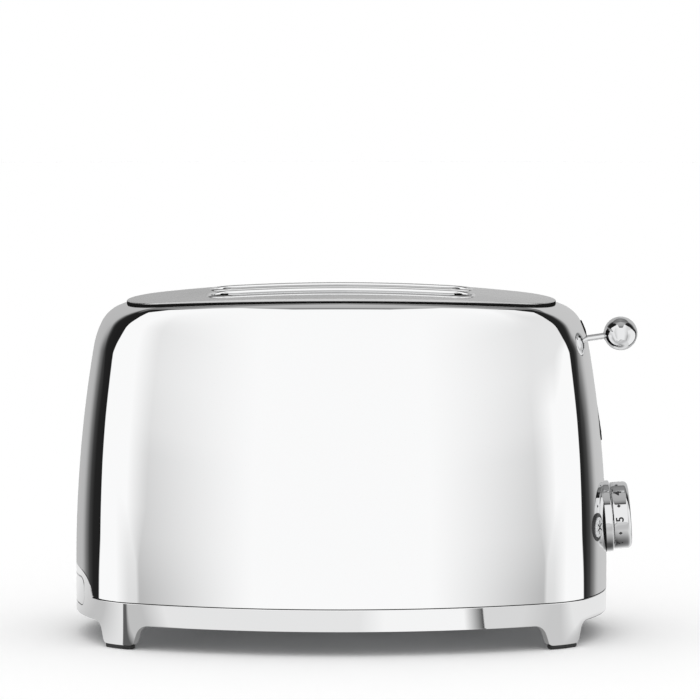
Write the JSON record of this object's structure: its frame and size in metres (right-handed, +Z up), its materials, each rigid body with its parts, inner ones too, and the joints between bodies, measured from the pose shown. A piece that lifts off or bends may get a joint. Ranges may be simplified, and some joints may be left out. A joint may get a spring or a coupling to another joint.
{
  "type": "two-slice toaster",
  "caption": "Polished steel two-slice toaster with an oval domed body, ball-ended side lever, numbered browning knob, push buttons and crumb tray.",
  "frame": {"origin": "on the standing surface, under the middle of the whole outline, lever ball included", "axes": "+X along the bread slots towards the lever and the knob, +Y towards the back, +Z up"},
  "size_m": [0.3262, 0.1952, 0.2012],
  "materials": {
    "polished_shell": "mirror polished stainless steel",
    "brushed_top": "fine brushed",
    "chromed_trim": "chromed, polished",
    "plain_steel": "plated sheet steel",
    "spring_wire": "drawn wire",
    "bright_reflector": "bright rolled",
    "mica": "mica sheet, pale and slightly glittering",
    "resistance_ribbon": "oxidised nickel-chrome ribbon",
    "black_rubber": "matt black",
    "dark_plastic": "dark moulded",
    "pale_button": "pale satin",
    "circuit_board": "green board",
    "coil_winding": "enamelled copper winding under tape"
  },
  "bodies": {
    "housing": {"body_shell": "polished_shell", "top_plate": "brushed_top", "slot_lip_front": "polished_shell", "slot_lip_rear": "polished_shell", "base_skirt": "polished_shell", "bottom_plate": "plain_steel", "base_screws": "plain_steel", "chassis_screws": "plain_steel", "foot_pad_front_left": "black_rubber", "foot_pad_front_right": "black_rubber", "foot_pad_rear_left": "black_rubber", "foot_pad_rear_right": "black_rubber", "end_plate_left": "plain_steel", "end_plate_right": "plain_steel", "reflector_front": "bright_reflector", "reflector_rear": "bright_reflector", "heater_card_front": "mica", "heater_card_centre": "mica", "heater_card_rear": "mica", "heater_winding_front": "resistance_ribbon", "heater_winding_centre": "resistance_ribbon", "heater_winding_rear": "resistance_ribbon", "guide_rod": "plain_steel", "lift_spring": "spring_wire", "magnet_yoke": "plain_steel", "magnet_coil": "coil_winding", "control_board": "circuit_board", "potentiometer": "dark_plastic", "knob_bezel": "chromed_trim", "lever_slot_liner": "dark_plastic", "cord_gland": "black_rubber", "button_ring_front": "dark_plastic", "button_ring_rear": "dark_plastic", "button_switch_front": "dark_plastic", "button_switch_rear": "dark_plastic"},
    "carriage": {"carriage_plate": "plain_steel", "carriage_bush": "dark_plastic", "keeper_plate": "plain_steel", "lever_rod": "chromed_trim", "lever_ball": "chromed_trim", "bread_rack_front": "plain_steel", "bread_rack_rear": "plain_steel"},
    "guard_front_outer_body": {"guard_front_outer": "spring_wire"},
    "guard_front_inner_body": {"guard_front_inner": "spring_wire"},
    "guard_rear_outer_body": {"guard_rear_outer": "spring_wire"},
    "guard_rear_inner_body": {"guard_rear_inner": "spring_wire"},
    "knob": {"browning_knob": "chromed_trim", "knob_shaft": "plain_steel"},
    "front_button": {"button_front": "pale_button"},
    "rear_button": {"button_rear": "pale_button"},
    "crumb_tray": {"crumb_tray_front": "polished_shell", "crumb_tray_pan": "plain_steel"}
  },
  "joints": [
    {"name": "lever_slide", "type": "slide", "parent": "housing", "child": "carriage", "axis": [0, 0, -1], "range_m": [0, 0.05], "stiffness_N_per_m": 150, "springref_m": -0.03, "deforming": ["lift_spring"]},
    {"name": "guard_front_outer_hinge", "type": "hinge", "parent": "housing", "child": "guard_front_outer_body", "pos_m": [-0.00874, -0.0405, 0.059], "axis": [-1, 0, 0], "range_deg": [0, 5.2]},
    {"name": "guard_front_inner_hinge", "type": "hinge", "parent": "housing", "child": "guard_front_inner_body", "pos_m": [-0.00874, -0.0055, 0.059], "axis": [1, 0, 0], "range_deg": [0, 5.2]},
    {"name": "guard_rear_inner_hinge", "type": "hinge", "parent": "housing", "child": "guard_rear_inner_body", "pos_m": [-0.00874, 0.0055, 0.059], "axis": [-1, 0, 0], "range_deg": [0, 5.2]},
    {"name": "guard_rear_outer_hinge", "type": "hinge", "parent": "housing", "child": "guard_rear_outer_body", "pos_m": [-0.00874, 0.0405, 0.059], "axis": [1, 0, 0], "range_deg": [0, 5.2]},
    {"name": "browning_turn", "type": "hinge", "parent": "housing", "child": "knob", "pos_m": [0.14515, 0, 0.067], "axis": [0.9971, 0, 0.0767], "range_deg": [-145.2, 96.8]},
    {"name": "front_button_press", "type": "slide", "parent": "housing", "child": "front_button", "axis": [-0.9356, 0.3532, 0], "range_m": [0, 0.0015], "stiffness_N_per_m": 400, "springref_m": -0.0005},
    {"name": "rear_button_press", "type": "slide", "parent": "housing", "child": "rear_button", "axis": [-0.9356, -0.3532, 0], "range_m": [0, 0.0015], "stiffness_N_per_m": 400, "springref_m": -0.0005},
    {"name": "crumb_tray_slide", "type": "slide", "parent": "housing", "child": "crumb_tray", "axis": [-1, 0, 0], "range_m": [0, 0.2]}
  ],
  "couplings": [
    {"joint": "guard_front_outer_hinge", "follows": "lever_slide", "rad_per_m": 1.745},
    {"joint": "guard_front_inner_hinge", "follows": "lever_slide", "rad_per_m": 1.745},
    {"joint": "guard_rear_inner_hinge", "follows": "lever_slide", "rad_per_m": 1.745},
    {"joint": "guard_rear_outer_hinge", "follows": "lever_slide", "rad_per_m": 1.745}
  ]
}
